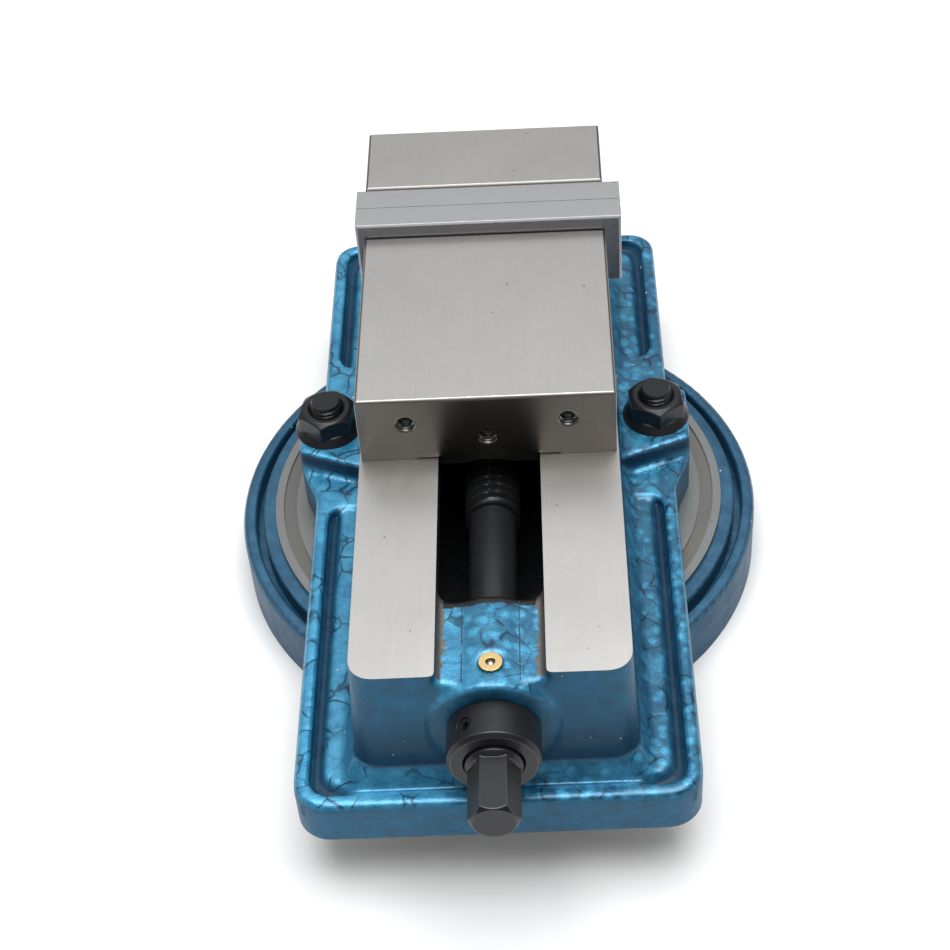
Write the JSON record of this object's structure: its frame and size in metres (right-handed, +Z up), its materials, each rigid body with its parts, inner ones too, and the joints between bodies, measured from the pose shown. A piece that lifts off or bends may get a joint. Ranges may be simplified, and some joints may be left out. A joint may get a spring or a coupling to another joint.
{
  "type": "machine vise",
  "caption": "Angle-lock milling vise with ground jaws, leadscrew with hexagon end and drip-tray bed on a round swivel base.",
  "frame": {"origin": "on the swivel axis, on the underside of the swivel base", "axes": "+X across the jaws, +Y from the handle end towards the fixed jaw, +Z up"},
  "size_m": [0.202, 0.3249, 0.1279],
  "materials": {
    "body_paint": "blue hammered paint, ways and bridge ledges ground bare",
    "casting_paint": "blue hammered paint, seat and rims ground bare",
    "ground_iron": "surface ground",
    "hardened_steel": "hardened and ground",
    "black_oxide": "black oxide",
    "tool_steel": "ground",
    "ductile_iron": "machined",
    "bronze": "machined",
    "bearing_brass": "machined",
    "brass": "polished"
  },
  "bodies": {
    "base": {"swivel_base": "casting_paint", "pivot_pin": "tool_steel"},
    "bed": {"vise_body": "body_paint", "clamp_bolts": "black_oxide", "fixed_jaw": "ground_iron", "fixed_jaw_key": "tool_steel", "fixed_jaw_bolts": "black_oxide", "fixed_jaw_plate": "hardened_steel", "fixed_plate_screws": "black_oxide", "screw_bush": "bronze", "thrust_race_front": "tool_steel", "oiler_body": "brass", "oiler_spring": "tool_steel"},
    "jaw": {"movable_jaw": "ground_iron", "movable_jaw_plate": "hardened_steel", "movable_plate_screws": "black_oxide", "jaw_nut": "ductile_iron", "half_ball": "tool_steel", "jaw_lock_screw": "black_oxide"},
    "screw": {"lead_screw": "black_oxide", "screw_collar": "black_oxide", "collar_set_screw": "black_oxide", "thrust_race_rear": "tool_steel"},
    "bearing_cage": {"thrust_cage": "bearing_brass"},
    "oiler_valve": {"oiler_ball": "tool_steel"},
    "nut_left": {"clamp_nut_left": "black_oxide"},
    "nut_right": {"clamp_nut_right": "black_oxide"}
  },
  "joints": [
    {"name": "base_swivel", "type": "hinge", "parent": "base", "child": "bed", "pos_m": [0, 0, 0.027], "axis": [0, 0, 1], "continuous": true},
    {"name": "screw_turn", "type": "hinge", "parent": "bed", "child": "screw", "pos_m": [0, -0.14, 0.07], "axis": [0, -1, 0], "range_deg": [0, 8820]},
    {"name": "jaw_slide", "type": "slide", "parent": "bed", "child": "jaw", "axis": [0, -1, 0], "range_m": [0, 0.0981]},
    {"name": "cage_turn", "type": "hinge", "parent": "bed", "child": "bearing_cage", "pos_m": [0, -0.1245, 0.07], "axis": [0, -1, 0], "range_deg": [0, 4411]},
    {"name": "oiler_press", "type": "slide", "parent": "bed", "child": "oiler_valve", "axis": [0, 0, 1], "range_m": [-0.001, 0], "stiffness_N_per_m": 400, "springref_m": 0.0005, "deforming": ["oiler_spring"]},
    {"name": "nut_left_turn", "type": "hinge", "parent": "bed", "child": "nut_left", "pos_m": [-0.0646, 0.012, 0.0535], "axis": [0, 0, 1], "range_deg": [0, 720]},
    {"name": "nut_right_turn", "type": "hinge", "parent": "bed", "child": "nut_right", "pos_m": [0.063, 0.012, 0.0535], "axis": [0, 0, 1], "range_deg": [0, 720]}
  ],
  "couplings": [
    {"joint": "jaw_slide", "follows": "screw_turn", "m_per_rad": 0.00063662},
    {"joint": "cage_turn", "follows": "screw_turn", "ratio": 0.5}
  ]
}
